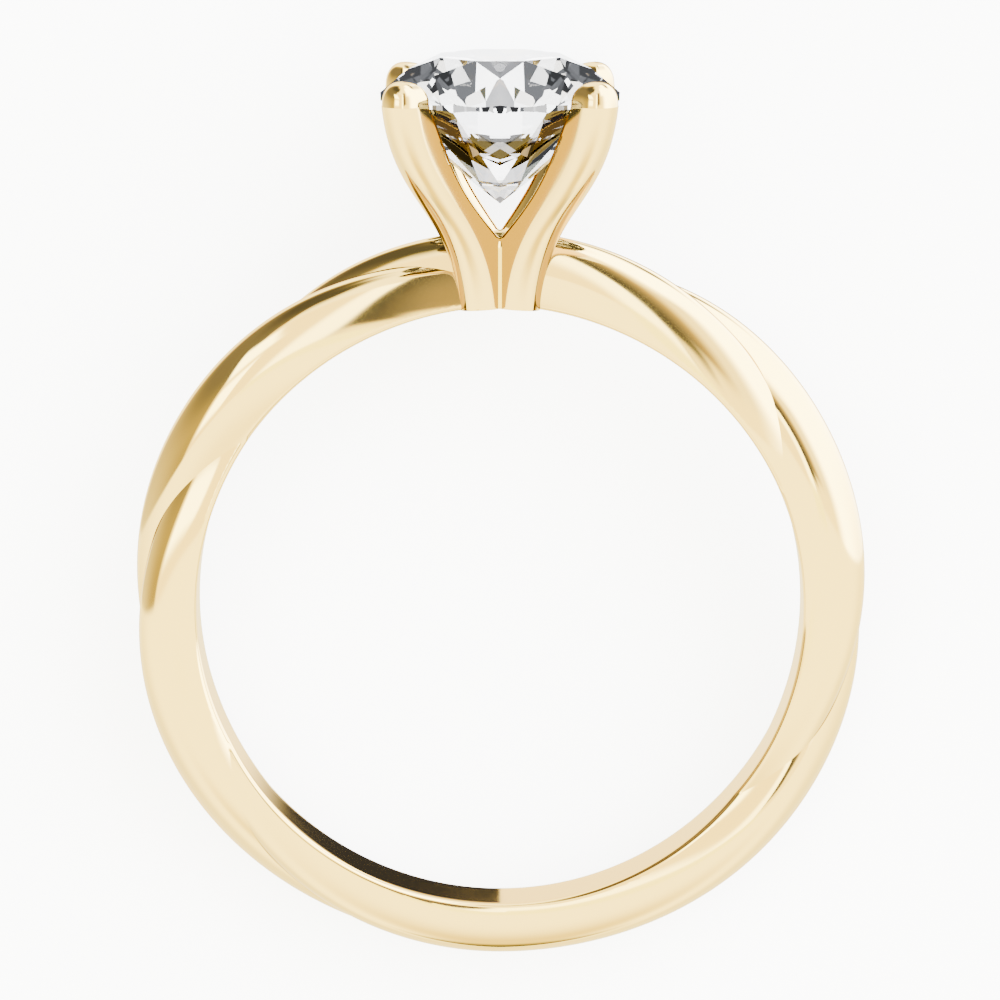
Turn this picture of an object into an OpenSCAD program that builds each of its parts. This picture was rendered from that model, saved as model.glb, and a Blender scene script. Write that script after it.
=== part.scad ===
// Solitaire engagement ring: a shank of two strands twisted together, a head of four prongs that splay
// up from its top, and one round brilliant stone. Sizes are in millimetres and angles in degrees.
// The ring is drawn standing, with the stone up, the finger hole along Y and its front towards -Y,
// and at_rest then lays it down on its back as it lies by itself on a table.

/* [Finger hole] */

// Inside diameter of the ring, a usual size 6
bore_d = 16.5; // [14:0.1:22]
// Width of the straight wall inside the finger hole
bore_wall_w = 1.6; // [1:0.1:3]
// Radius of the eased edge on each side of that wall
bore_edge_r = 0.2; // [0.05:0.05:0.5]

/* [Twisted shank] */

// Height of the twist's middle line above the finger hole at the head
twist_mid_t = 0.49; // [0.3:0.01:0.9]
// How far each strand's middle moves out and in from that line
strand_lift = 0.36; // [0.1:0.01:0.7]
// How far each strand's middle moves to either side of that line
strand_sway = 0.38; // [0.1:0.01:0.7]
// Half thickness of the two strands where one lies over the other
over_half_t = 1.17; // [0.8:0.01:1.6]
// Half thickness of the two strands where they lie side by side
beside_half_t = 1.28; // [0.8:0.01:1.6]
// Half width of one strand where it lies over the other
over_half_w = 0.95; // [0.6:0.01:1.4]
// Half width of one strand where they lie side by side
beside_half_w = 0.72; // [0.5:0.01:1.2]
// Degrees that the strands turn for each degree round the ring, beside the head
twist_rate = 2.93; // [2.6:0.01:4.5]
// Share by which the shank grows thinner from the head to the bottom
taper_t = 0.17; // [0:0.01:0.4]
// Share by which the shank grows narrower from the head to the bottom
taper_w = 0.05; // [0:0.01:0.4]

/* [Prongs] */

// Width of each prong
prong_w = 1.16; // [0.8:0.02:1.6]
// Share of that width that is left at the foot
prong_foot_share = 1; // [0.6:0.01:1]
// Distance of the prong's middle from the head's axis, at the foot
prong_foot_r = 0.68; // [0.4:0.01:1.2]
// The same distance that the lower half of the prong aims at
prong_waist_r = 0.97; // [0.5:0.01:1.6]
// Height above the ring's centre that the lower half aims at
prong_waist_h = 11.05; // [9:0.05:12]
// Distance that the upper half of the prong comes from
prong_sweep_r = 3.24; // [2:0.01:4]
// Height that the upper half comes from
prong_sweep_h = 11.15; // [10:0.05:13]
// Distance of the prong's middle from the head's axis, at the seam under the cap
prong_tip_r = 3.62; // [3:0.01:4.5]
// Height of the crotch where the prongs part
crotch_h = 10.2; // [9.5:0.05:11]
// Radius of the web that fills the narrow grooves between the prongs' feet
web_r = 0.87; // [0.7:0.01:1]
// Height of the rounded cap on each prong
cap_h = 0.65; // [0.4:0.01:1]

/* [Stone] */

// Girdle diameter of the stone, a round brilliant of about one carat
stone_d = 6.45; // [5:0.05:8]
// Height of the middle of the girdle above the ring's centre
girdle_mid_h = 13.9; // [12.5:0.05:15]
// Thickness of the girdle at its thick points, as a share of the diameter
girdle_share = 0.035; // [0.01:0.005:0.06]
// Height of the crown, as a share of the diameter
crown_share = 0.1555; // [0.1:0.0005:0.2]
// Depth of the pavilion, as a share of the diameter
pavilion_share = 0.4325; // [0.4:0.0005:0.46]
// Width of the table across its corners, as a share of the diameter
table_share = 0.534; // [0.5:0.002:0.65]
// How far the star facets reach from the table's edge to the girdle
star_share = 0.5; // [0.3:0.01:0.65]
// How far the lower facets reach from the girdle to the point
lower_share = 0.77; // [0.6:0.01:0.9]
// Clearance between the stone and its seats in the prongs
seat_gap = 0.04; // [0.02:0.01:0.1]

/* [Hidden] */

gold = "#e3bb6b";
clear = "#e8eef2";

// Shank
bore_r = bore_d / 2;
cols = 24;
rows = 144;
bottom_turn = 450;
even_end = 2 * bottom_turn / twist_rate - 180;

// Prongs, with the inner edge's curve given as [distance from the axis, height]
root_h = 8;
seam_h = girdle_mid_h + 0.02;
full_w_h = 9.5;
middle_curve = [
    [prong_foot_r, root_h],
    [prong_waist_r, prong_waist_h],
    [prong_sweep_r, prong_sweep_h],
    [prong_tip_r, seam_h + 0.03]
];
inner_curve = [
    [0.6, crotch_h],
    [1.94, 11.47],
    [2.18, 11.85],
    [3.18, seam_h + 0.03]
];
prong_levels = [8, 8.6, 9.3, 9.7, 10, 10.2, 10.5, 10.8, 11.1, 11.5, 11.9, 12.4, 13, 13.92];
cap_levels = [0, 0.35, 0.62, 0.83, 0.95, 1];
round_steps = 8;

// Stone
stone_r = stone_d / 2;
girdle_t = stone_d * girdle_share;
crown_h = stone_d * crown_share;
pavilion_h = stone_d * pavilion_share;
table_r = stone_d * table_share / 2;
girdle_top = girdle_mid_h + girdle_t / 2;
girdle_low = girdle_mid_h - girdle_t / 2;
table_h = girdle_top + crown_h;
point_h = girdle_low - pavilion_h;
star_r = table_r + (stone_r - table_r) * star_share;
lower_r = stone_r * (1 - lower_share);

// Rest: the girdle's lower edge and the shank's far side both touch the table
far_half_w = (beside_half_w + strand_sway) * (1 - taper_w);
far_mid = bore_r + twist_mid_t * (1 - taper_t);
far_out = bore_r + (twist_mid_t + beside_half_t) * (1 - taper_t);
rest_tilt = atan2(stone_r - far_half_w, girdle_low + far_mid);
rest_lift = far_half_w * cos(rest_tilt) + far_mid * sin(rest_tilt);
head_edge = table_h * cos(rest_tilt) + table_r * cos(22.5) * sin(rest_tilt);
far_edge = far_out * cos(rest_tilt) + strand_sway * (1 - taper_w) * sin(rest_tilt);
mid_shift = (far_edge - head_edge) / 2;

function turn(a) =
    let (m = abs(a), past = max(0, m - even_end))
    (a < 0 ? -1 : 1) * twist_rate * (m - past * past / (2 * (180 - even_end)));

// A point of the twist's outline, d degrees round from the middle of the first strand
function twist_point(a, d) =
    let (p = turn(a))
    let (c = pow(cos(p), 2))
    let (s = pow(sin(p), 2))
    let (half_t = over_half_t * c + beside_half_t * s)
    let (half_w = over_half_w * c + beside_half_w * s)
    let (off_t = strand_lift * cos(p) / half_t)
    let (off_w = strand_sway * sin(p) / half_w)
    let (off = norm([off_t, off_w]))
    let (g = atan2(off_w, off_t) + d)
    let (reach = off * abs(cos(d)) + sqrt(1 - pow(off * sin(d), 2)))
    let (slim = (1 - cos(a)) / 2)
    let (out = bore_r + (twist_mid_t + half_t * reach * cos(g)) * (1 - taper_t * slim))
    let (side = half_w * reach * sin(g) * (1 - taper_w * slim))
    [out * sin(a), -side, out * cos(a)];

function curve_at(c, t) =
    pow(1 - t, 3) * c[0] + 3 * t * pow(1 - t, 2) * c[1] + 3 * t * t * (1 - t) * c[2] + pow(t, 3) * c[3];

// The curve as rows of [height, distance], to look distances up in
function by_height(c) = [for (t = [0:0.025:1.001]) let (p = curve_at(c, t)) [p[1], p[0]]];

middle_rows = by_height(middle_curve);
inner_rows = concat([[root_h, 0], [crotch_h - 0.2, 0]], by_height(inner_curve));

function prong_half(h) = prong_w / 2 * min(1, prong_foot_share + (1 - prong_foot_share) * (h - root_h) / (full_w_h - root_h));

// One level of a prong: a flat inner end, parallel flanks and a half-round outer face
function prong_ring(h, z, scale) =
    let (mid = lookup(h, middle_rows))
    let (near = lookup(h, inner_rows))
    let (half = prong_half(h))
    let (c = (near + mid + half) / 2)
    concat(
        [[c + (near - c) * scale, -half * scale, z]],
        [for (k = [0:round_steps])
            let (a = -90 + 180 * k / round_steps)
            [c + (mid + half * cos(a) - c) * scale, half * sin(a) * scale, z]],
        [[c + (near - c) * scale, half * scale, z]]
    );

module skin(points, rings, n) {
    polyhedron(points, concat(
        [[for (j = [0:n - 1]) j]],
        [for (i = [0:rings - 2], j = [0:n - 1])
            let (a = i * n + j)
            let (b = i * n + (j + 1) % n)
            each [[a, a + n, b + n], [a, b + n, b]]],
        [[for (j = [n - 1:-1:0]) (rings - 1) * n + j]]
    ));
}

// Two strands as one closed tube that turns two and a half times on its way round
module twisted_shank() {
    step = 360 / rows;
    points = [for (i = [0:rows - 1], j = [0:cols - 1]) twist_point(-180 + i * step, j * 360 / cols)];
    faces = [for (i = [0:rows - 1], j = [0:cols - 1])
        let (n = (i + 1) % rows)
        let (shift = i == rows - 1 ? cols / 2 : 0)
        let (a = i * cols + j)
        let (b = i * cols + (j + 1) % cols)
        let (c = n * cols + (j + 1 + shift) % cols)
        let (d = n * cols + (j + shift) % cols)
        each [[a, d, b], [b, d, c]]];
    polyhedron(points, faces);
}

module prong() {
    body = [for (h = prong_levels) each prong_ring(h, h, 1)];
    cap = [for (k = [1:len(cap_levels) - 1])
        let (u = cap_levels[k])
        each prong_ring(seam_h, seam_h + cap_h * u, pow(1.02 - pow(u, 2.3), 1 / 2.3))];
    skin(concat(body, cap), len(prong_levels) + len(cap_levels) - 1, round_steps + 3);
}

module setting() {
    for (q = [45:90:315]) rotate([0, 0, q]) prong();
    translate([0, 0, root_h]) cylinder(h = crotch_h - 0.08 - root_h, r = web_r, $fn = 48);
}

// The finger's space: a straight wall with eased edges
module finger_space() {
    half = bore_wall_w / 2;
    edge = [for (a = [30:30:90]) [bore_r + bore_edge_r * (1 - cos(a)), half + bore_edge_r * sin(a)]];
    rotate([90, 0, 0]) rotate_extrude($fn = 180) polygon(concat(
        [[0, -4], [bore_r + bore_edge_r, -4]],
        [for (k = [2:-1:0]) [edge[k][0], -edge[k][1]]],
        [[bore_r, -half], [bore_r, half]],
        edge,
        [[bore_r + bore_edge_r, 4], [0, 4]]
    ));
}

// The stone's outline turned about its axis, with the clearance added
module stone_space() {
    rotate_extrude($fn = 96) polygon([
        [0, point_h - 1.5 * seat_gap],
        [stone_r + seat_gap, girdle_low - 0.5 * seat_gap],
        [stone_r + seat_gap, girdle_top + 0.5 * seat_gap],
        [table_r, table_h + 1.4 * seat_gap],
        [0, table_h + 1.4 * seat_gap]
    ]);
}

module shank_and_setting() {
    color(gold) at_rest() difference() {
        union() {
            twisted_shank();
            setting();
        }
        finger_space();
        stone_space();
    }
}

function crown_at(r, a) = table_h - (r * cos(a) - table_r) * (crown_h / (stone_r - table_r));
function pavilion_at(r, a) = point_h + r * cos(a) * pavilion_h / stone_r;

// Round brilliant: table, eight kites, eight stars and sixteen upper facets over the girdle, and
// sixteen lower facets and eight kites under it
module stone() {
    mains = [for (k = [0:7]) 22.5 + 45 * k];
    dip = 0.16 * girdle_t;
    tops = [for (m = mains) [table_r * cos(m), table_r * sin(m), table_h]];
    stars = [for (m = mains) [star_r * cos(m + 22.5), star_r * sin(m + 22.5), crown_at(star_r, 22.5)]];
    uppers = [for (g = [0:31])
        let (a = 22.5 + 11.25 * g)
        [stone_r * cos(a), stone_r * sin(a), girdle_top - (g % 2) * dip]];
    lowers = [for (g = [0:31])
        let (a = 22.5 + 11.25 * g)
        [stone_r * cos(a), stone_r * sin(a), girdle_low + (g % 2) * dip]];
    unders = [for (m = mains) [lower_r * cos(m + 22.5), lower_r * sin(m + 22.5), pavilion_at(lower_r, 22.5)]];
    s0 = 8;
    u0 = 16;
    l0 = 48;
    p0 = 80;
    c0 = 88;
    color(clear, 0.6) at_rest() polyhedron(
        concat(tops, stars, uppers, lowers, unders, [[0, 0, point_h]]),
        concat(
            [[for (k = [7:-1:0]) k]],
            [for (k = [0:7]) [k, (k + 1) % 8, s0 + k]],
            [for (k = [0:7]) each [
                [k, s0 + k, u0 + 4 * k],
                [k, u0 + 4 * k, s0 + (k + 7) % 8],
                [s0 + k, u0 + 4 * k + 1, u0 + 4 * k],
                [s0 + k, u0 + 4 * k + 2, u0 + 4 * k + 1],
                [s0 + k, u0 + 4 * k + 3, u0 + 4 * k + 2],
                [s0 + k, u0 + (4 * k + 4) % 32, u0 + 4 * k + 3],
                [p0 + k, l0 + 4 * k, l0 + 4 * k + 1],
                [p0 + k, l0 + 4 * k + 1, l0 + 4 * k + 2],
                [p0 + k, l0 + 4 * k + 2, l0 + 4 * k + 3],
                [p0 + k, l0 + 4 * k + 3, l0 + (4 * k + 4) % 32],
                [c0, l0 + 4 * k, p0 + k],
                [c0, p0 + (k + 7) % 8, l0 + 4 * k]
            ]],
            [for (g = [0:31]) [u0 + g, u0 + (g + 1) % 32, l0 + (g + 1) % 32, l0 + g]]
        )
    );
}

module at_rest() {
    translate([0, mid_shift, rest_lift]) rotate([rest_tilt - 90, 0, 0]) children();
}

shank_and_setting();
stone();
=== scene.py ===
import math

import bpy
import numpy as np
from bpy.props import FloatProperty, FloatVectorProperty, PointerProperty
from mathutils import Matrix


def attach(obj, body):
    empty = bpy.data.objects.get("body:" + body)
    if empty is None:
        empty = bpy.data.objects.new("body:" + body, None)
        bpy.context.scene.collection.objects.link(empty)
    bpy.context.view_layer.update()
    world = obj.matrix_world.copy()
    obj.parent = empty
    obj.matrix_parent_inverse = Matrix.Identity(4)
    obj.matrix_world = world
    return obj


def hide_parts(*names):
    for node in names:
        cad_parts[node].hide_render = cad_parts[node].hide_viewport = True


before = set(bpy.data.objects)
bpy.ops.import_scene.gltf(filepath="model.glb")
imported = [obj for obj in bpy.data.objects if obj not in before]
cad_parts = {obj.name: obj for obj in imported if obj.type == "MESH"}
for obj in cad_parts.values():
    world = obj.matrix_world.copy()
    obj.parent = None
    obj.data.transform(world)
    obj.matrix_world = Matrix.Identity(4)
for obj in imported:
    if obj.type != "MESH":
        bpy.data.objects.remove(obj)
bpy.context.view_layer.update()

bl_info = {
    "name": "Twisted solitaire ring",
    "version": (1, 0, 0),
    "blender": (4, 5, 0),
    "location": "View3D > Sidebar > Ring",
    "description": "Makes a solitaire ring with a twisted shank, a four-prong head and a round brilliant",
    "category": "Add Mesh",
}


def length(name, description, default):
    """A size in metres."""
    return FloatProperty(name=name, description=description, default=default, min=0.0, precision=5,
                         unit="LENGTH")


def share(name, description, default):
    """A plain number, such as a share of another size."""
    return FloatProperty(name=name, description=description, default=default, precision=4)


def tint(name, description, default):
    """A linear colour."""
    return FloatVectorProperty(name=name, description=description, default=default, size=3, min=0.0,
                               subtype="COLOR")


class ShankSizes(bpy.types.PropertyGroup):
    """Sizes of the twisted shank."""

    bore_d: length("Finger hole", "Inside diameter of the ring", 0.0165)
    rim_round: length("Rim rounding", "Radius of the eased edge of the finger hole", 0.00013)
    twist_mid: length("Twist middle", "Height of the twist's middle line above the finger hole", 0.00049)
    lift: length("Strand lift", "How far each strand moves out and in from that line", 0.00036)
    sway: length("Strand sway", "How far each strand moves to either side of that line", 0.00038)
    over_t: length("Thickness, one over the other", "Half thickness where one strand is on top", 0.00117)
    beside_t: length("Thickness, side by side", "Half thickness where the strands lie side by side", 0.00128)
    over_w: length("Width, one over the other", "Half width of a strand where one is on top", 0.00095)
    beside_w: length("Width, side by side", "Half width of a strand where they lie side by side", 0.00072)
    twist_rate: share("Twist", "Turns of the strands for each turn round the ring, beside the head", 2.93)
    taper_t: share("Taper in thickness", "Share lost from the head to the bottom", 0.17)
    taper_w: share("Taper in width", "Share lost from the head to the bottom", 0.05)
    square: share("Squareness", "2 for oval strands, more for flatter faces and tighter edges", 2.6)
    head_dip: share("Dip at the head", "Share of the width lost beside the head", 0.36)
    dip_reach: share("Dip reach", "Angle from the head, in radians, over which the width comes back", 0.38)
    polish: length("Polish", "What polishing takes off the strands all round", 0.000015)


class HeadSizes(bpy.types.PropertyGroup):
    """Sizes of the four-prong head."""

    prong_w: length("Prong width", "Width of each prong", 0.00116)
    foot_r: length("Foot distance", "Distance of the prong's middle from the axis at the foot", 0.00068)
    waist_r: length("Waist distance", "Distance that the lower half of the prong aims at", 0.00097)
    waist_h: length("Waist height", "Height that the lower half of the prong aims at", 0.01105)
    sweep_r: length("Sweep distance", "Distance that the upper half of the prong comes from", 0.00324)
    sweep_h: length("Sweep height", "Height that the upper half of the prong comes from", 0.01115)
    tip_r: length("Tip distance", "Distance of the prong's middle from the axis under its cap", 0.00362)
    crotch_h: length("Crotch height", "Height where the prongs part", 0.0102)
    inner_foot_r: length("Inner foot distance", "Distance of the prong's inner end at the crotch", 0.0006)
    inner_waist_r: length("Inner waist distance", "Distance that its lower half aims at", 0.00194)
    inner_waist_h: length("Inner waist height", "Height that its lower half aims at", 0.01147)
    inner_sweep_r: length("Inner sweep distance", "Distance that its upper half comes from", 0.00218)
    inner_sweep_h: length("Inner sweep height", "Height that its upper half comes from", 0.01185)
    inner_tip_r: length("Inner tip distance", "Distance of the prong's inner end under the cap", 0.00318)
    corner: length("Corner rounding", "Rounding of the prong's inner corners", 0.00006)
    cap_h: length("Cap height", "Height of the rounded cap on each prong", 0.00065)
    cap_share: share("Cap share", "Width of the cap over the width of the prong", 0.982)
    cap_square: share("Cap squareness", "2 for a round cap, more for a fuller one", 2.3)
    web_r: length("Web radius", "Radius of the web between the prongs' feet", 0.00087)
    web_drop: length("Web drop", "How far the web's edge stays below the crotch", 0.00012)
    web_dome: length("Web dome", "Height of the web's domed top", 0.00004)


class StoneSizes(bpy.types.PropertyGroup):
    """Sizes of the round brilliant."""

    stone_d: length("Girdle diameter", "Diameter of the stone", 0.00645)
    girdle_h: length("Girdle height", "Height of the middle of the girdle above the ring's centre", 0.0139)
    girdle_share: share("Girdle share", "Thickness of the girdle over the diameter", 0.035)
    crown_share: share("Crown share", "Height of the crown over the diameter", 0.1555)
    pavilion_share: share("Pavilion share", "Depth of the pavilion over the diameter", 0.4325)
    table_share: share("Table share", "Width of the table across its corners over the diameter", 0.534)
    star_share: share("Star share", "How far the star facets reach to the girdle", 0.5)
    lower_share: share("Lower share", "How far the lower facets reach to the point", 0.77)
    seat_gap: length("Seat gap", "Clearance between the stone and its seats", 0.00004)


class Finish(bpy.types.PropertyGroup):
    """Colours and polish."""

    gold: tint("Gold", "Colour of the polished gold", (0.94, 0.645, 0.155))
    gold_rough: share("Gold roughness", "Middle roughness of the polish", 0.07)
    haze: share("Haze scale", "Scale of the faint unevenness of the polish", 900.0)
    haze_depth: share("Haze depth", "Share of the roughness by which it varies up and down", 0.4)
    stone: tint("Stone", "Colour of the stone's body", (1.0, 1.0, 1.0))
    stone_ior: share("Stone refraction", "Refractive index of the stone", 2.417)
    floor: tint("Floor", "Colour of the pale floor", (0.95, 0.95, 0.95))
    floor_rough: share("Floor roughness", "Roughness of the floor", 0.6)
    floor_glow: share("Floor glow", "Light of its own that the floor gives, as a lit table does", 5.5)


class Studio(bpy.types.PropertyGroup):
    """The floor's size, and where the camera stands."""

    floor_half: length("Floor", "Half the side of the square floor", 0.6)
    distance: length("Camera distance", "From the camera to the point it looks at", 0.15)
    aim: length("Aim height", "Height of that point above the ring's centre, towards the stone", 0.00287)
    above: FloatProperty(name="Camera angle", description="Angle of the view above the finger hole's axis",
                         default=math.radians(10.4), subtype="ANGLE")
    lens: FloatProperty(name="Lens", description="Focal length on a 36 mm sensor, in mm", default=198.2)


# A panel of light has its four sides in degrees of longitude and elevation, how wide its edges fade, how wide
# its right side fades, how many degrees it leans to the right for each degree that it rises, and its light.
# The first panel of each table covers the whole view.
PANEL_COLUMNS = ("name", "left", "right", "bottom", "top", "edge", "fade", "slant", "light")
PANELS = (
    ("lit room", -180, 180, -90, 90, 1, 1, 0, (5.4, 5.3, 4.2)),
    ("warm side", -142, -42, -90, 75, 10, 8, 0, (1.05, 0.88, 0.30)),
    ("dim side", -134, -46, 16, 74, 24, 10, 0, (0.36, 0.34, 0.36)),
    ("dark corner", -122, -28, 48, 73, 18, 18, 0, (0.15, 0.155, 0.20)),
    ("left room", -48, 2, -90, 40, 8, 2, 0, (4.7, 4.3, 2.5)),
    ("left window, upper", -26, 0, 20, 35, 6, 6, -1, (11.0, 12.0, 13.0)),
    ("left window, lower", -43, -22, -1, 15, 6, 2, 0, (11.0, 12.0, 13.0)),
    ("left strip lamp", -6, 2, -90, 42, 5, 2, 0, (9.5, 10.0, 10.0)),
    ("lamp's glow", 4, 180, -90, 30, 2, 2, 0, (4.4, 4.2, 3.0)),
    ("stand, lit side", 2, 18, -90, 50, 2, 12, 0, (1.35, 1.05, 0.32)),
    ("stand, dim side", 2, 12, -90, 50, 2, 8, 0, (0.50, 0.46, 0.45)),
    ("stand, dark side", 2, 7, -90, 50, 2, 6, 0, (0.15, 0.155, 0.22)),
    ("ledge", 2, 60, -90, -2, 3, 30, 0, (4.9, 4.6, 2.8)),
    ("ledge's right part", 9, 60, -90, 1, 4, 30, 0, (4.9, 4.6, 2.8)),
    ("large soft lamp", 40, 158, -90, 76, 26, 8, 0, (14.0, 15.0, 19.0)),
    ("lamp above the stand", 26, 158, 35, 76, 14, 8, 0, (14.0, 15.0, 19.0)),
    ("ceiling beam", 112, 162, 44, 60, 14, 14, 0, (0.35, 0.32, 0.26)),
    ("table", -180, 180, -90, -7, 2, 2, 0, (6.0, 5.9, 4.4)),
    ("table's far edge", -7, 6, -10, -5, 2, 2, 0, (5.7, 5.8, 2.8)),
    ("table's left side", -180, -85, -90, -7, 60, 60, 0, (3.7, 3.6, 2.6)),
    ("table's right side", 85, 180, -90, -7, 60, 60, 0, (3.9, 3.8, 2.7)),
    ("warm wall behind, left", -180, -146, -36, 30, 16, 16, 0, (4.2, 3.5, 1.7)),
    ("warm wall behind, right", 150, 180, -36, 26, 16, 16, 0, (4.2, 3.5, 1.7)),
    ("dark room behind", 163, 180, -1, 18, 7, 7, 0, (0.05, 0.05, 0.06)),
    ("shade in front of the ring", -26, 30, -90, -38, 40, 40, 0, (3.1, 2.7, 1.0)),
    ("shade under the ring", -60, 60, -90, -72, 12, 12, 0, (1.0, 0.88, 0.3)),
    ("deep shade", -60, 60, -90, -80, 8, 8, 0, (0.14, 0.14, 0.16)),
)
STONE_PANELS = (
    ("dim studio", 0, 180, -90, 90, 1, 1, 0, (0.26, 0.27, 0.29)),
    ("table in front", 0, 34, -60, -30, 6, 6, 0, (4.0, 4.0, 4.0)),
    ("lamp below", 138, 166, -90, -66, 6, 6, 0, (1.7, 1.65, 1.6)),
    ("gold below", 96, 136, -76, -50, 6, 6, 0, (1.1, 0.75, 0.35)),
    ("gold beside", 114, 128, -15, 0, 4, 4, 0, (5.0, 3.7, 1.6)),
    ("low side lamp", 127, 140, -32, -13, 3, 3, 0, (9.0, 9.0, 9.0)),
    ("grey wall", 141, 164, -44, -24, 4, 4, 0, (0.42, 0.43, 0.46)),
    ("deep shade", 146, 164, -4, 9, 3, 3, 0, (0.02, 0.02, 0.022)),
    ("green glow", 148, 165, -11, -4, 3, 3, 0, (0.16, 0.22, 0.12)),
    ("back lamp", 168, 180, -46, 19, 5, 5, 0, (9.5, 9.6, 9.8)),
    ("back side lamp", 126, 156, 11, 21, 3, 3, 0, (9.0, 9.2, 9.4)),
    ("back ceiling", 150, 180, 46, 76, 6, 6, 0, (0.9, 0.9, 0.95)),
    ("back ceiling lamp", 152, 176, 59, 70, 4, 4, 0, (3.2, 3.2, 3.2)),
    ("side ceiling", 104, 126, 34, 50, 4, 4, 0, (3.2, 3.2, 3.2)),
    ("front lamp", 0, 12, 6, 26, 4, 4, 0, (7.0, 7.0, 7.2)),
    ("front lamp above", 0, 17, 58, 76, 4, 4, 0, (9.0, 9.0, 9.0)),
    ("low front lamp", 26, 50, -11, 4, 3, 3, 0, (7.0, 7.0, 7.0)),
    ("low corner lamp", 57, 69, -18, 12, 3, 3, 0, (6.0, 5.8, 5.4)),
    ("window", 39, 51, 22, 32, 3, 3, 0, (6.0, 5.8, 5.5)),
    ("large side lamp", 62, 96, 18, 46, 4, 4, 0, (7.5, 7.5, 7.5)),
    ("large side lamp's top", 56, 96, 42, 60, 4, 4, 0, (8.0, 8.0, 8.0)),
)
BACKDROP = (6.0, 6.0, 6.0)
# A ray bounces this often at full light, and each bounce more leaves it this share of the gold's light.
FULL_BOUNCES = 2.0
PASSED_ON = 0.36

# How far the strands turn from the head to the ring's bottom.
BOTTOM_TURN = math.radians(450)
# The search for a rim's direction: its steps of halving, and where it starts, well above the rims.
HALVINGS = 46
SEARCH_FROM = 1.0

# Heights above the ring's centre: the roots, which the finger hole's wall cuts off; where the prongs make
# room for the stone; and where their rows stand closer.
ROOT_H = 0.008
SEAT_FROM_H = 0.0128
CLOSE_ROWS_H = 0.0133
# The caps begin this far above the girdle's middle, and the prongs' curves run this far past that seam.
SEAM_RISE = 0.00002
OVERRUN = 0.00003
# Height over which the prongs' inner ends leave the axis, just below the crotch.
CROTCH_STEP = 0.0002
# How far the feet of the prongs and of the web stay off the finger hole's wall.
PRONG_CLEAR = 0.000003
WEB_CLEAR = 0.000005
# How far the seat's outline moves at the stone's point, the girdle's two edges and the table, in seat gaps.
SEAT_SHIFTS = (-1.5, -0.5, 0.5, 1.4)
# A distance from the axis that is too small to matter, and safe to divide by.
TINY = 0.000001

# Where each prong stands, in degrees from the right side towards the front.
QUARTERS = {"back_right": -45, "back_left": -135, "front_left": 135, "front_right": 45}
# Points along a prong's curves, and along its flat inner end, a rounded corner, a flank and its outer face.
CURVE_POINTS = 400
END_POINTS, BEND_POINTS, FLANK_POINTS, FACE_POINTS = 7, 6, 12, 41
# Rows of a prong's foot, of the prong below and above the height where they stand closer, and of its cap.
FOOT_ROWS, LOW_ROWS, CLOSE_ROWS, CAP_ROWS = 9, 90, 30, 26
# Points round the web, and rows of its foot, its post and its dome.
WEB_POINTS, WEB_FOOT_ROWS, WEB_POST_ROWS, WEB_DOME_ROWS = 96, 8, 24, 8
# Share of its full width at the first row of a prong's foot, and at the web's first and last row.
FOOT_START = 0.02
WEB_START = 0.05
WEB_END = 0.0001

# Edges with a sharper bend than this stay sharp.
SHANK_EDGE = math.radians(22)
HEAD_EDGE = math.radians(30)

# How many main facets go round the stone, and half the angle from one to the next.
MAINS = 8
HALF_MAIN = math.pi / MAINS


def stone_levels(stone):
    """Heights of the girdle's upper and lower edge, the table and the point above the ring's centre."""
    thick = stone.stone_d * stone.girdle_share
    top = stone.girdle_h + thick / 2
    low = stone.girdle_h - thick / 2
    return top, low, top + stone.stone_d * stone.crown_share, low - stone.stone_d * stone.pavilion_share


def rest_place(shank, stone):
    """How the ring lies: it leans until the girdle's lower edge and the shank's far side are level.

    Returns the lean, the lift of the ring's centre and its shift along the table.
    """
    _, low, table, _ = stone_levels(stone)
    far_w = (shank.beside_w + shank.sway) * (1 - shank.taper_w)
    far_mid = shank.bore_d / 2 + shank.twist_mid * (1 - shank.taper_t)
    far_out = shank.bore_d / 2 + (shank.twist_mid + shank.beside_t) * (1 - shank.taper_t)
    lean = math.atan2(stone.stone_d / 2 - far_w, low + far_mid)
    lift = far_w * math.cos(lean) + far_mid * math.sin(lean)
    table_r = stone.stone_d * stone.table_share / 2
    head_edge = table * math.cos(lean) + table_r * math.cos(HALF_MAIN) * math.sin(lean)
    far_edge = far_out * math.cos(lean) + shank.sway * (1 - shank.taper_w) * math.sin(lean)
    return lean, lift, (far_edge - head_edge) / 2


def lay_down(across, up, front):
    """Points given by their place in the standing ring: across it, up to the stone, and out of its front.

    They are turned by the lean about X, then shifted and lifted onto the table.
    """
    lean, lift, shift = rest_place(bpy.context.scene.ring_shank, bpy.context.scene.ring_stone)
    c, s = math.cos(lean), math.sin(lean)
    across, up, front = np.broadcast_arrays(across, up, front)
    return np.stack([across, up * c - front * s + shift, up * s + front * c + lift], axis=-1).reshape(-1, 3)


def turn(angle, rate):
    """How far the strands have turned at an angle round the ring.

    The turn grows evenly beside the head, then less and less, and stops growing at the ring's bottom.
    """
    size = np.abs(angle)
    even_end = 2 * BOTTOM_TURN / rate - math.pi
    past = np.maximum(0.0, size - even_end)
    return np.sign(angle) * rate * (size - past * past / (2 * (math.pi - even_end)))


def lead(angle, shank):
    """Half thickness and half width of the strands, and the direction and distance of the first one's middle.

    The sizes go from one over the other to side by side with the squares of the turn's cosine and sine. The
    distance is from the twist's middle line, over those sizes.
    """
    p = turn(angle, shank.twist_rate)
    c, s = np.cos(p) ** 2, np.sin(p) ** 2
    half_t = shank.over_t * c + shank.beside_t * s
    half_w = shank.over_w * c + shank.beside_w * s
    off_t = shank.lift * np.cos(p) / half_t
    off_w = shank.sway * np.sin(p) / half_w
    return half_t, half_w, np.arctan2(off_w, off_t), np.hypot(off_t, off_w)


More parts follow.
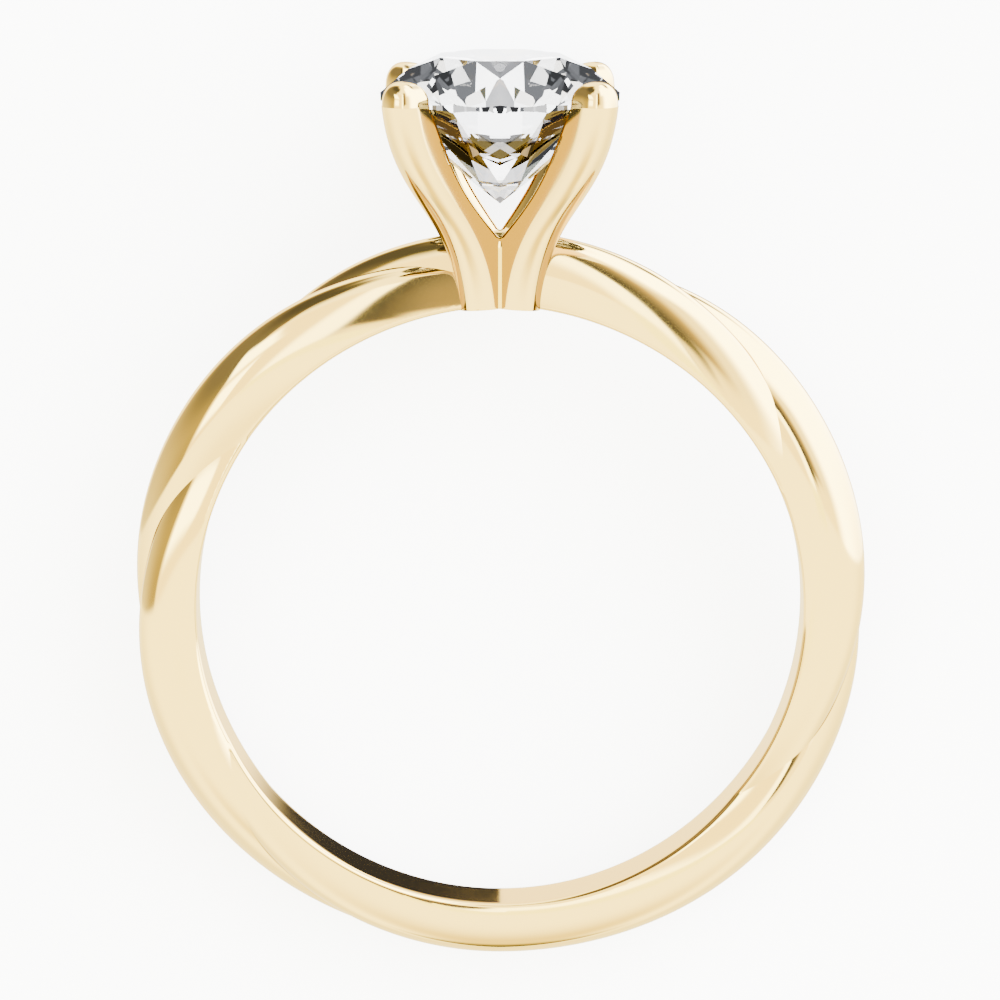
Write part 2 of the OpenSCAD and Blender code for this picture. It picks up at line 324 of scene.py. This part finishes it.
def outline(angle, beta, shank):
    """The twist's section: two ovals, each moved off centre by the same amount, joined as one reach in beta.

    The reach is off*|cos d| + sqrt(1 - (off*sin d)^2), with d from the first strand's middle. To the side it
    is times that of a squarish oval, (|cos b|^n + |sin b|^n)^(-1/n), which flattens the faces. Polishing takes
    its bit off, the section tapers towards the bottom, and beside the head its width loses the dip times
    exp(-(angle/reach)^2). Returns the height above the finger hole and the distance to the front.
    """
    half_t, half_w, first, off = lead(angle, shank)
    d = beta - first
    reach = off * np.abs(np.cos(d)) + np.sqrt(1 - (off * np.sin(d)) ** 2)
    n = shank.square
    flat = (np.abs(np.cos(beta)) ** n + np.abs(np.sin(beta)) ** n) ** (-1 / n)
    slim = (1 - np.cos(angle)) / 2
    dip = shank.head_dip * np.exp(-(angle / shank.dip_reach) ** 2)
    taper_t, taper_w = 1 - shank.taper_t * slim, 1 - shank.taper_w * slim
    height = (shank.twist_mid + (half_t * reach - shank.polish) * np.cos(beta)) * taper_t
    side = (half_w * reach * flat - shank.polish) * np.sin(beta) * taper_w * (1 - dip)
    return height, side


def beta_at(angle, way, level, shank):
    """The direction in which the section's side stands at a level above the finger hole, found by halving.

    The way is 1 for the front side and -1 for the back.
    """
    low = np.full_like(angle, SEARCH_FROM)
    high = np.full_like(angle, math.pi)
    for _ in range(HALVINGS):
        mid = (low + high) / 2
        above = outline(angle, way * mid, shank)[0] > level
        low, high = np.where(above, mid, low), np.where(above, high, mid)
    return way * (low + high) / 2


def solid(name, points, faces, sharp=None):
    """A mesh object from points and faces, with unused points dropped, riding on the ring's only body."""
    used, index = np.unique(np.concatenate([f.ravel() for f in faces]), return_inverse=True)
    sizes = np.concatenate([np.full(len(f), f.shape[1]) for f in faces])
    starts = np.concatenate([[0], np.cumsum(sizes)[:-1]])
    mesh = bpy.data.meshes.new(name)
    mesh.vertices.add(len(used))
    mesh.vertices.foreach_set("co", np.ascontiguousarray(points[used], dtype=np.float32).ravel())
    mesh.loops.add(int(sizes.sum()))
    mesh.loops.foreach_set("vertex_index", index.ravel().astype(np.int32))
    mesh.polygons.add(len(sizes))
    mesh.polygons.foreach_set("loop_start", starts.astype(np.int32))
    mesh.update(calc_edges=True)
    if mesh.validate():
        raise RuntimeError(name + " has a faulty mesh")
    if sharp is None:
        mesh.shade_flat()
    else:
        mesh.shade_smooth()
        mesh.set_sharp_from_angle(angle=sharp)
    piece = bpy.data.objects.new(name, mesh)
    bpy.context.scene.collection.objects.link(piece)
    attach(piece, "root")
    return piece


def outward(points, faces):
    """The faces, turned round if the skin they close is inside out, which its signed volume shows."""
    total = 0.0
    for f in faces:
        for k in range(1, f.shape[1] - 1):
            a, b, c = points[f[:, 0]], points[f[:, k]], points[f[:, k + 1]]
            total += float(np.einsum("ij,ij->i", a, np.cross(b, c)).sum())
    return faces if total > 0 else [f[:, ::-1] for f in faces]


def cells(index, closed=False):
    """Two triangles for each cell of a grid of point numbers, whose last row joins the first if closed."""
    rows = np.vstack([index, index[:1]]) if closed else index
    a, b = rows[:-1, :-1], rows[:-1, 1:]
    d, c = rows[1:, :-1], rows[1:, 1:]
    return np.concatenate([np.stack([a, b, d], -1).reshape(-1, 3), np.stack([b, c, d], -1).reshape(-1, 3)])


def keep_real(faces):
    """The triangles whose three points differ."""
    a, b, c = faces.T
    return faces[(a != b) & (b != c) & (a != c)]


def shank_outside(angle, shank, cols=144):
    """Heights, distances to the front and triangles of the shank's outside, and the rims' point numbers.

    It is a grid of angle round the ring by direction from the first strand, so the groove between the strands
    lies along a column. Points past a rim of the finger hole become the rim's own point, and the rims'
    numbers follow the grid's. Cells that would reach from rim to rim, across the finger hole's wall, are left
    out.
    """
    rows = len(angle)
    away = 2 * math.pi * np.arange(cols)[None, :] / cols
    first = lead(angle, shank)[2]
    beta = (first + away + math.pi) % (2 * math.pi) - math.pi
    front = beta_at(angle, 1, shank.rim_round, shank)
    back = beta_at(angle, -1, shank.rim_round, shank)
    past_front, past_back = beta > front, beta < back
    height, side = outline(angle, np.clip(beta, back, front), shank)
    grid = np.arange(rows * cols).reshape(rows, cols)
    rim_front = rows * cols + np.arange(rows)
    rim_back = rim_front + rows
    index = np.where(past_front, rim_front[:, None], np.where(past_back, rim_back[:, None], grid))

    def around(values):
        """Columns closed into a loop, and rows closed half a loop on, as the strands change places."""
        loop = np.hstack([values, values[:, :1]])
        seam = np.roll(values[:1], -cols // 2, axis=1)
        return np.vstack([loop, np.hstack([seam, seam[:, :1]])])

    def touched(values):
        """The cells with a marked point at any of their four corners."""
        q = around(values)
        return q[:-1, :-1] | q[:-1, 1:] | q[1:, 1:] | q[1:, :-1]

    keep = ~(touched(past_front) & touched(past_back)).ravel()
    faces = cells(around(index))[np.concatenate([keep, keep])]
    return height, side, keep_real(faces), rim_front, rim_back


def shank_inside(angle, rim_front, rim_back, shank, bend=6, wall=8):
    """Heights, distances to the front and triangles of the finger hole's wall, front rim to back rim.

    Each rim is rounded by a quarter circle: at its angle a, the height is the rounding times 1 - sin a, and
    the side has moved in by the rounding times 1 - cos a. The wall between is straight.
    """
    a = math.pi / 2 * np.arange(bend + 1)[None, :] / bend
    level = shank.rim_round * (1 - np.sin(a)) + 0 * angle

    def rounding(way):
        """Distances to the front along one rim's quarter circle, from the rim to the wall."""
        beta = beta_at(angle + 0 * a, way, level, shank)
        return outline(angle, beta, shank)[1] - way * shank.rim_round * (1 - np.cos(a))

    front, back = rounding(1), rounding(-1)
    between = front[:, -1:] + (back[:, -1:] - front[:, -1:]) * np.arange(1, wall)[None, :] / wall
    height = np.hstack([level, 0 * between, level[:, ::-1]])
    side = np.hstack([front, between, back[:, ::-1]])
    rows, cols = len(angle), height.shape[1] - 2
    inner = rim_back[-1] + 1 + np.arange(rows * cols).reshape(rows, cols)
    strip = np.hstack([rim_front[:, None], inner, rim_back[:, None]])
    return height, side, keep_real(cells(strip, closed=True))


def shank_surface(shank, rows=720):
    """The twisted shank as one closed skin: its outside, then the finger hole's rounded rims and wall."""
    angle = -math.pi + 2 * math.pi * np.arange(rows)[:, None] / rows
    height, side, outer, rim_front, rim_back = shank_outside(angle, shank)
    wall_h, wall_side, inner = shank_inside(angle, rim_front, rim_back, shank)

    def place(h, front):
        """Ring coordinates to the table."""
        r = shank.bore_d / 2 + h
        return lay_down(r * np.sin(angle), r * np.cos(angle), front)

    points = np.vstack([
        place(height, side),
        place(wall_h[:, :1], wall_side[:, :1]),
        place(wall_h[:, -1:], wall_side[:, -1:]),
        place(wall_h[:, 1:-1], wall_side[:, 1:-1]),
    ])
    return points, [np.concatenate([outer, inner])]


def bent(curve, count):
    """Points along a cubic curve through its first and last point, drawn towards the two between."""
    t = np.linspace(0, 1, count)[:, None]
    c = np.asarray(curve)
    return (1 - t) ** 3 * c[0] + 3 * t * (1 - t) ** 2 * c[1] + 3 * t * t * (1 - t) * c[2] + t ** 3 * c[3]


def prong_lines(h, head, stone):
    """Distances from the axis of the prong's inner end and of its middle at heights h, both on bent curves.

    Below the crotch the prongs are one, so there the inner end lies on the axis.
    """
    end_h = stone.girdle_h + SEAM_RISE + OVERRUN
    mid = bent([(head.foot_r, ROOT_H), (head.waist_r, head.waist_h), (head.sweep_r, head.sweep_h),
                (head.tip_r, end_h)], CURVE_POINTS)
    near = bent([(head.inner_foot_r, head.crotch_h), (head.inner_waist_r, head.inner_waist_h),
                 (head.inner_sweep_r, head.inner_sweep_h), (head.inner_tip_r, end_h)], CURVE_POINTS)
    near = np.vstack([[(0.0, ROOT_H), (0.0, head.crotch_h - CROTCH_STEP)], near])
    return np.interp(h, near[:, 1], near[:, 0]), np.interp(h, mid[:, 1], mid[:, 0])


def prong_section(near, mid, half, corner):
    """One turn round the prong for each height, as distances out from the axis and across the prong.

    It has a flat inner end with rounded corners, straight flanks and a half-round outer face.
    """
    near, mid = near[:, None], mid[:, None]
    half = np.full_like(near, half)
    flat = np.linspace(-1, 1, END_POINTS)[None, 1:-1]
    bend = np.linspace(0, math.pi / 2, BEND_POINTS)[None, :]
    flank = np.linspace(0, 1, FLANK_POINTS)[None, 1:-1]
    face = np.linspace(-math.pi / 2, math.pi / 2, FACE_POINTS)[None, :]
    out = np.hstack([
        near + corner * (1 - np.sin(bend)),
        near + corner + (mid - near - corner) * flank,
        mid + half * np.cos(face),
        mid + (near + corner - mid) * flank,
        near + corner * (1 - np.cos(bend)),
        near + 0 * flat,
    ])
    across = np.hstack([
        -half + corner * (1 - np.cos(bend)),
        -half + 0 * flank,
        half * np.sin(face),
        half + 0 * flank,
        half - corner * (1 - np.sin(bend)),
        -(half - corner) * flat,
    ])
    return out, across


def seat_profile(h, stone):
    """Radius of the stone with its clearance at heights h, which the seats in the prongs follow."""
    top, low, table, point = stone_levels(stone)
    heights = np.array([point, low, top, table]) + stone.seat_gap * np.array(SEAT_SHIFTS)
    girdle_r = stone.stone_d / 2 + stone.seat_gap
    table_r = stone.stone_d * stone.table_share / 2
    return np.interp(h, heights, [0.0, girdle_r, girdle_r, table_r], left=0.0, right=0.0)


def bore_wall(x, clear, shank):
    """Height of the finger hole's wall at a distance across the ring, moved outwards by a clearance."""
    return np.sqrt((shank.bore_d / 2 + clear) ** 2 - x * x)


def prong_rows(head, stone):
    """The prong's rows: their heights up to the seam under the cap, their heights above it, and their width.

    First the foot widens from its middle, then the prong goes up to the seam. With t from 0 to a quarter turn
    and n for its squareness, the cap rises as (sin t)^(2/n) and narrows as (cos t)^(2/n), down to one point.
    """
    seam = stone.girdle_h + SEAM_RISE
    foot = np.linspace(FOOT_START, 1, FOOT_ROWS)[:-1]
    low, close = np.linspace(ROOT_H, CLOSE_ROWS_H, LOW_ROWS), np.linspace(CLOSE_ROWS_H, seam, CLOSE_ROWS)
    up = np.concatenate([low, close[1:]])
    cap = np.linspace(0, math.pi / 2, CAP_ROWS)
    power = 2 / head.cap_square
    heights = np.concatenate([np.full(len(foot), ROOT_H), up, np.full(len(cap), seam)])
    above = np.concatenate([np.zeros(len(foot) + len(up)), head.cap_h * np.sin(cap) ** power])
    width = np.concatenate([foot, np.ones(len(up)), head.cap_share * np.cos(cap) ** power])
    width[-1] = 0.0
    return heights, above, width


def prong_surface(quarter, shank, head, stone):
    """One prong with its cap as a closed skin: sections stacked up a curved middle line.

    The foot follows the finger hole's wall, and points inside the stone's seat move straight out to it.
    """
    heights, above, width = prong_rows(head, stone)
    near, mid = prong_lines(heights, head, stone)
    half = head.prong_w / 2
    out, across = prong_section(near, mid, half, head.corner)
    centre = ((near + mid + half) / 2)[:, None]
    out = centre + (out - centre) * width[:, None]
    across = across * width[:, None]
    up = (heights + above)[:, None] + 0 * out
    reach, seat = np.hypot(out, across), seat_profile(up, stone)
    push = np.where((reach < seat) & (up > SEAT_FROM_H), seat / np.maximum(reach, TINY), 1.0)
    out, across = out * push, across * push

    c, s = math.cos(quarter), math.sin(quarter)
    x, front = out * c - across * s, out * s + across * c
    up = np.maximum(up, bore_wall(x, PRONG_CLEAR, shank))
    foot_x, foot_front = np.mean(x[0]), np.mean(front[0])
    foot = lay_down(foot_x, bore_wall(foot_x, PRONG_CLEAR, shank), foot_front)

    rows, cols = out.shape
    index = np.arange(rows * cols).reshape(rows, cols)
    index[-1] = index[-1, 0]
    skin = keep_real(cells(np.hstack([index, index[:, :1]])))
    under = np.stack([np.roll(index[0], -1), index[0], np.full(cols, rows * cols)], -1)
    return np.vstack([lay_down(x, up, front), foot]), [np.concatenate([skin, under])]


def web_surface(shank, head):
    """The web between the prongs' feet: a round post whose foot follows the finger hole, with a domed top."""
    a = 2 * math.pi * np.arange(WEB_POINTS)[None, :] / WEB_POINTS
    foot = np.linspace(WEB_START, 1, WEB_FOOT_ROWS)[:, None]
    post = np.linspace(0, 1, WEB_POST_ROWS)[1:-1, None]
    dome = np.linspace(0, math.pi / 2, WEB_DOME_ROWS)[1:, None]
    top = head.crotch_h - head.web_drop
    r = head.web_r * np.vstack([foot, np.ones_like(post), np.cos(dome) + WEB_END])
    h = np.vstack([0 * foot + ROOT_H, ROOT_H + (top - ROOT_H) * post, top + head.web_dome * np.sin(dome)])
    x, front = r * np.cos(a), r * np.sin(a)
    h = np.maximum(h, bore_wall(x, WEB_CLEAR, shank))
    rows, cols = x.shape
    index = np.arange(rows * cols).reshape(rows, cols)
    ends = [index[-1][None, :], index[0][::-1][None, :]]
    return lay_down(x, h, front), [cells(np.hstack([index, index[:, :1]]))] + ends


def girdle_dips(r, edge_h, tip_r, tip_h, parts):
    """Heights at which the plane of one facet meets the girdle, from one of its corners there to the other.

    The plane goes through the facet's tip and both corners, and the round girdle stands out between them.
    """
    g = HALF_MAIN * np.arange(parts + 1) / parts
    corner = np.array([r, 0.0, edge_h])
    far_corner = np.array([r * math.cos(HALF_MAIN), r * math.sin(HALF_MAIN), edge_h])
    tip = np.array([tip_r * math.cos(HALF_MAIN), tip_r * math.sin(HALF_MAIN), tip_h])
    normal = np.cross(corner - tip, far_corner - tip)
    flat = normal[0] * (r * np.cos(g) - tip[0]) + normal[1] * (r * np.sin(g) - tip[1])
    return tip[2] - flat / normal[2]


def ring_of(r, h, angle):
    """Points at a distance r from the stone's axis, at heights h and at these angles round it."""
    return np.stack([r * np.cos(angle), h + 0 * angle, r * np.sin(angle)])


def stone_surface(stone, parts=4):
    """A round brilliant as flat facets: table, stars, kites, upper facets, girdle, lower facets and mains.

    The girdle is scalloped: each facet's side on it has this many parts, all in the facet's own plane.
    """
    top, low, table, point = stone_levels(stone)
    r = stone.stone_d / 2
    table_r = r * stone.table_share
    crown_slope = (table - top) / (r - table_r)
    star_r = table_r + (r - table_r) * stone.star_share
    star_h = table - (star_r * math.cos(HALF_MAIN) - table_r) * crown_slope
    lower_r = r * (1 - stone.lower_share)
    lower_h = point + lower_r * math.cos(HALF_MAIN) * (low - point) / r

    n = 2 * MAINS * parts
    corner = HALF_MAIN + 2 * HALF_MAIN * np.arange(MAINS)
    girdle = HALF_MAIN + 2 * math.pi * np.arange(n) / n
    there_and_back = np.concatenate([np.arange(parts), parts - np.arange(parts)])
    upper_h = np.tile(girdle_dips(r, top, star_r, star_h, parts)[there_and_back], MAINS)
    under_h = np.tile(girdle_dips(r, low, lower_r, lower_h, parts)[there_and_back], MAINS)
    rings = [
        ring_of(table_r, table, corner),
        ring_of(star_r, star_h, corner + HALF_MAIN),
        ring_of(r, upper_h, girdle),
        ring_of(r, under_h, girdle),
        ring_of(lower_r, lower_h, corner + HALF_MAIN),
        ring_of(0.0, point, np.zeros(1)),
    ]
    counts = [ring.shape[1] for ring in rings]
    table_0, star_0, upper_0, under_0, lower_0, point_0 = np.cumsum([0, *counts[:-1]])

    k = np.arange(MAINS)
    after, before = (k + 1) % MAINS, (k - 1) % MAINS
    start = 2 * parts * k
    first_half = start[:, None] + np.arange(parts + 1)
    second_half = (first_half + parts) % n
    g = np.arange(n)
    g_after = (g + 1) % n
    stars, lowers = (star_0 + k)[:, None], (lower_0 + k)[:, None]
    faces = [
        (table_0 + k)[None, ::-1],
        np.stack([table_0 + k, table_0 + after, star_0 + k], -1),
        np.stack([table_0 + k, star_0 + k, upper_0 + start, star_0 + before], -1),
        np.hstack([stars, upper_0 + first_half[:, ::-1]]),
        np.hstack([stars, upper_0 + second_half[:, ::-1]]),
        np.stack([point_0 + 0 * k, lower_0 + before, under_0 + start, lower_0 + k], -1),
        np.hstack([lowers, under_0 + first_half]),
        np.hstack([lowers, under_0 + second_half]),
        np.stack([upper_0 + g, upper_0 + g_after, under_0 + g_after, under_0 + g], -1),
    ]
    x, h, front = np.hstack(rings)
    return lay_down(x, h, front), faces


def gold_material():
    """Polished yellow gold, with the faint unevenness of hand polishing in its roughness."""
    made = bpy.data.materials.get("polished_gold")
    if made:
        return made
    finish = bpy.context.scene.ring_finish
    made = bpy.data.materials.new("polished_gold")
    made.use_nodes = True
    nodes, links = made.node_tree.nodes, made.node_tree.links
    skin = nodes["Principled BSDF"]
    skin.inputs["Base Color"].default_value = (*finish.gold, 1.0)
    skin.inputs["Metallic"].default_value = 1.0
    place = nodes.new("ShaderNodeTexCoord")
    haze = nodes.new("ShaderNodeTexNoise")
    haze.inputs["Scale"].default_value = finish.haze
    haze.inputs["Detail"].default_value = 3.0
    links.new(place.outputs["Object"], haze.inputs["Vector"])
    spread = nodes.new("ShaderNodeMapRange")
    spread.inputs["To Min"].default_value = finish.gold_rough * (1 - finish.haze_depth)
    spread.inputs["To Max"].default_value = finish.gold_rough * (1 + finish.haze_depth)
    links.new(haze.outputs["Fac"], spread.inputs["Value"])
    links.new(spread.outputs["Result"], skin.inputs["Roughness"])
    return made


def stone_material():
    """Clear stone of high refraction."""
    finish = bpy.context.scene.ring_finish
    made = bpy.data.materials.new("clear_stone")
    made.use_nodes = True
    skin = made.node_tree.nodes["Principled BSDF"]
    skin.inputs["Base Color"].default_value = (*finish.stone, 1.0)
    skin.inputs["Roughness"].default_value = 0.0
    skin.inputs["IOR"].default_value = finish.stone_ior
    skin.inputs["Transmission Weight"].default_value = 1.0
    return made


def floor_material():
    """A pale matt floor that gives some light of its own."""
    finish = bpy.context.scene.ring_finish
    made = bpy.data.materials.new("pale_floor")
    made.use_nodes = True
    skin = made.node_tree.nodes["Principled BSDF"]
    skin.inputs["Base Color"].default_value = (*finish.floor, 1.0)
    skin.inputs["Roughness"].default_value = finish.floor_rough
    skin.inputs["Emission Color"].default_value = (1.0, 1.0, 1.0, 1.0)
    skin.inputs["Emission Strength"].default_value = finish.floor_glow
    return made


def feed(tree, socket, value):
    """Links a socket to another one, or gives it a number or a colour."""
    if isinstance(value, bpy.types.NodeSocket):
        tree.links.new(value, socket)
    elif isinstance(value, tuple):
        socket.default_value = (*value, 1.0)
    else:
        socket.default_value = value


def step(tree, kind, *values):
    """A maths node fed with sockets or numbers."""
    made = tree.nodes.new("ShaderNodeMath")
    made.operation = kind
    for socket, value in zip(made.inputs, values):
        feed(tree, socket, value)
    return made.outputs[0]


def rise(tree, value, start, end):
    """A soft rise from 0 to 1 as the value goes from start to end."""
    made = tree.nodes.new("ShaderNodeMapRange")
    made.interpolation_type = "SMOOTHSTEP"
    for name, number in (("Value", value), ("From Min", start), ("From Max", end)):
        feed(tree, made.inputs[name], number)
    return made.outputs["Result"]


def over(tree, below, above, cover, label):
    """One colour over another, as far as cover says."""
    mix = tree.nodes.new("ShaderNodeMix")
    mix.data_type = "RGBA"
    mix.label = label
    feed(tree, mix.inputs[0], cover)
    for socket, colour in zip([q for q in mix.inputs if q.type == "RGBA"], (below, above)):
        feed(tree, socket, colour)
    return [q for q in mix.outputs if q.type == "RGBA"][0]


def panels(tree, rows, longitude, elevation):
    """The light of a table of panels: each covers the ones before it, with a soft mask for each of its sides.

    A panel has no mask on a side where it reaches as far as the first panel, which is everywhere.
    """
    whole, *rest = (dict(zip(PANEL_COLUMNS, row)) for row in rows)
    light = whole["light"]
    for panel in rest:
        edge, fade = panel["edge"] / 2, panel["fade"] / 2
        along = longitude
        if panel["slant"]:
            along = step(tree, "SUBTRACT", longitude, step(tree, "MULTIPLY", elevation, panel["slant"]))
        masks = []
        if panel["left"] > whole["left"]:
            masks.append(rise(tree, along, panel["left"] - edge, panel["left"] + edge))
        if panel["right"] < whole["right"]:
            masks.append(rise(tree, along, panel["right"] + fade, panel["right"] - fade))
        if panel["bottom"] > whole["bottom"]:
            masks.append(rise(tree, elevation, panel["bottom"] - edge, panel["bottom"] + edge))
        if panel["top"] < whole["top"]:
            masks.append(rise(tree, elevation, panel["top"] + edge, panel["top"] - edge))
        cover = masks[0]
        for mask in masks[1:]:
            cover = step(tree, "MULTIPLY", cover, mask)
        light = over(tree, light, panel["light"], cover, panel["name"])
    return light


def shining(tree, colour, label):
    """A background that gives off a colour."""
    made = tree.nodes.new("ShaderNodeBackground")
    made.label = label
    feed(tree, made.inputs["Color"], colour)
    return made.outputs[0]


def either(tree, usual, other, when):
    """The usual background, or the other one for marked rays. Only one of them is worked out for a ray."""
    made = tree.nodes.new("ShaderNodeMixShader")
    for socket, value in zip(made.inputs, (when, usual, other)):
        feed(tree, socket, value)
    return made.outputs[0]


def studio_world(lean):
    """Soft studio light as a standing ring would see it, laid down with the ring.

    Longitude is 0 to the front and grows to the right, and elevation is above the ring's own horizon. The
    stone has its own panels, alike at its left and right, as cut stones are lit for a picture: only a
    mirror-sharp ray, which the gold's polish never sends, sees them. Light that the gold passes on to itself
    dims with each further bounce. The camera itself sees a plain pale backdrop.
    """
    world = bpy.data.worlds.new("studio")
    world.use_nodes = True
    tree = world.node_tree
    tree.nodes.remove(tree.nodes["Background"])
    place = tree.nodes.new("ShaderNodeTexCoord")
    stand = tree.nodes.new("ShaderNodeVectorRotate")
    stand.rotation_type = "X_AXIS"
    feed(tree, stand.inputs["Angle"], -lean)
    feed(tree, stand.inputs["Vector"], place.outputs["Generated"])
    parts = tree.nodes.new("ShaderNodeSeparateXYZ")
    feed(tree, parts.inputs["Vector"], stand.outputs["Vector"])
    across, up, front = parts.outputs
    longitude = step(tree, "DEGREES", step(tree, "ARCTAN2", across, front))
    elevation = step(tree, "DEGREES", step(tree, "ARCSINE", up))
    ray = tree.nodes.new("ShaderNodeLightPath")

    for_gold = panels(tree, PANELS, longitude, elevation)
    further = step(tree, "MAXIMUM", step(tree, "SUBTRACT", ray.outputs["Ray Depth"], FULL_BOUNCES), 0.0)
    passed = step(tree, "POWER", PASSED_ON, further)
    for_gold = over(tree, (0.0, 0.0, 0.0), for_gold, passed, "passed on")
    for_stone = panels(tree, STONE_PANELS, step(tree, "ABSOLUTE", longitude), elevation)
    gold_light = shining(tree, for_gold, "gold's light")
    stone_light = shining(tree, for_stone, "stone's own light")
    seen = either(tree, gold_light, stone_light, ray.outputs["Is Singular Ray"])
    seen = either(tree, seen, shining(tree, BACKDROP, "backdrop"), ray.outputs["Is Camera Ray"])
    feed(tree, tree.nodes["World Output"].inputs["Surface"], seen)
    return world


def floor_square(half):
    """The pale floor, which mirrored and refracted rays don't see."""
    mesh = bpy.data.meshes.new("floor")
    corners = [(-half, -half, 0), (half, -half, 0), (half, half, 0), (-half, half, 0)]
    mesh.from_pydata(corners, [], [(0, 1, 2, 3)])
    mesh.materials.append(floor_material())
    floor = bpy.data.objects.new("floor", mesh)
    floor.visible_glossy = False
    floor.visible_transmission = False
    bpy.context.scene.collection.objects.link(floor)
    return floor


def photo_view(view, lean):
    """The camera: it looks at the standing ring's front from a little above, laid down with the ring."""
    c, s = math.cos(lean), math.sin(lean)

    def to_table(across, up, front):
        """A direction in the standing ring, laid on the table."""
        return np.array([across, up * c - front * s, up * s + front * c])

    look = to_table(0.0, -math.sin(view.above), -math.cos(view.above))
    up = to_table(0.0, math.cos(view.above), -math.sin(view.above))
    right = np.cross(look, up)
    place = lay_down(0.0, view.aim, 0.0)[0] - look * view.distance
    lens = bpy.data.cameras.new("photo_view")
    lens.lens = view.lens
    lens.sensor_width = 36
    lens.clip_start = 0.005
    lens.clip_end = 10
    camera = bpy.data.objects.new("photo_view", lens)
    camera.matrix_world = Matrix([*np.stack([right, up, -look, place], axis=-1).tolist(), (0, 0, 0, 1)])
    bpy.context.scene.collection.objects.link(camera)
    return camera


def gold_piece(name, points, faces, sharp):
    """A piece of the gold, made in place of the plain ring."""
    piece = solid(name, points, outward(points, faces), sharp)
    piece.data.materials.append(gold_material())
    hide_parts("shank_and_setting")


class RING_OT_shank(bpy.types.Operator):
    """Makes the twisted shank in place of the plain one"""

    bl_idname = "ring.shank"
    bl_label = "Twisted shank"

    def execute(self, context):
        gold_piece("twisted_shank", *shank_surface(context.scene.ring_shank), SHANK_EDGE)
        return {"FINISHED"}


class RING_OT_head(bpy.types.Operator):
    """Makes the four prongs with their caps, and the web between their feet"""

    bl_idname = "ring.head"
    bl_label = "Four-prong head"

    def execute(self, context):
        scene = context.scene
        shank, head, stone = scene.ring_shank, scene.ring_head, scene.ring_stone
        for name, degrees in QUARTERS.items():
            gold_piece("prong_" + name, *prong_surface(math.radians(degrees), shank, head, stone), HEAD_EDGE)
        gold_piece("head_web", *web_surface(shank, head), HEAD_EDGE)
        return {"FINISHED"}


class RING_OT_stone(bpy.types.Operator):
    """Makes the round brilliant"""

    bl_idname = "ring.stone"
    bl_label = "Round brilliant"

    def execute(self, context):
        points, faces = stone_surface(context.scene.ring_stone)
        piece = solid("round_brilliant", points, outward(points, faces))
        piece.data.materials.append(stone_material())
        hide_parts("stone")
        return {"FINISHED"}


class RING_OT_studio(bpy.types.Operator):
    """Lays the pale floor and sets the light and the camera"""

    bl_idname = "ring.studio"
    bl_label = "Studio"

    def execute(self, context):
        scene = context.scene
        lean = rest_place(scene.ring_shank, scene.ring_stone)[0]
        floor = floor_square(scene.ring_studio.floor_half)
        scene.world = studio_world(lean)
        scene.camera = photo_view(scene.ring_studio, lean)
        return {"FINISHED"}


class RING_PT_maker(bpy.types.Panel):
    """The ring's pieces, sizes and finishes"""

    bl_idname = "RING_PT_maker"
    bl_label = "Solitaire ring"
    bl_space_type = "VIEW_3D"
    bl_region_type = "UI"
    bl_category = "Ring"

    def draw(self, context):
        for maker in (RING_OT_shank, RING_OT_head, RING_OT_stone, RING_OT_studio):
            self.layout.operator(maker.bl_idname)
        for name in GROUPS:
            group = getattr(context.scene, name)
            box = self.layout.box()
            for key in group.__annotations__:
                box.prop(group, key)


GROUPS = {
    "ring_shank": ShankSizes,
    "ring_head": HeadSizes,
    "ring_stone": StoneSizes,
    "ring_finish": Finish,
    "ring_studio": Studio,
}
CLASSES = (*GROUPS.values(), RING_OT_shank, RING_OT_head, RING_OT_stone, RING_OT_studio, RING_PT_maker)


def register():
    """Makes the operators, the panel and the groups of sizes known."""
    for made in CLASSES:
        bpy.utils.register_class(made)
    for name, group in GROUPS.items():
        setattr(bpy.types.Scene, name, PointerProperty(type=group))


def unregister():
    """Takes back what register makes known."""
    for name in GROUPS:
        delattr(bpy.types.Scene, name)
    for made in reversed(CLASSES):
        bpy.utils.unregister_class(made)


def main():
    register()
    bpy.ops.ring.shank()
    bpy.ops.ring.head()
    bpy.ops.ring.stone()
    bpy.ops.ring.studio()


if __name__ == "__main__":
    main()
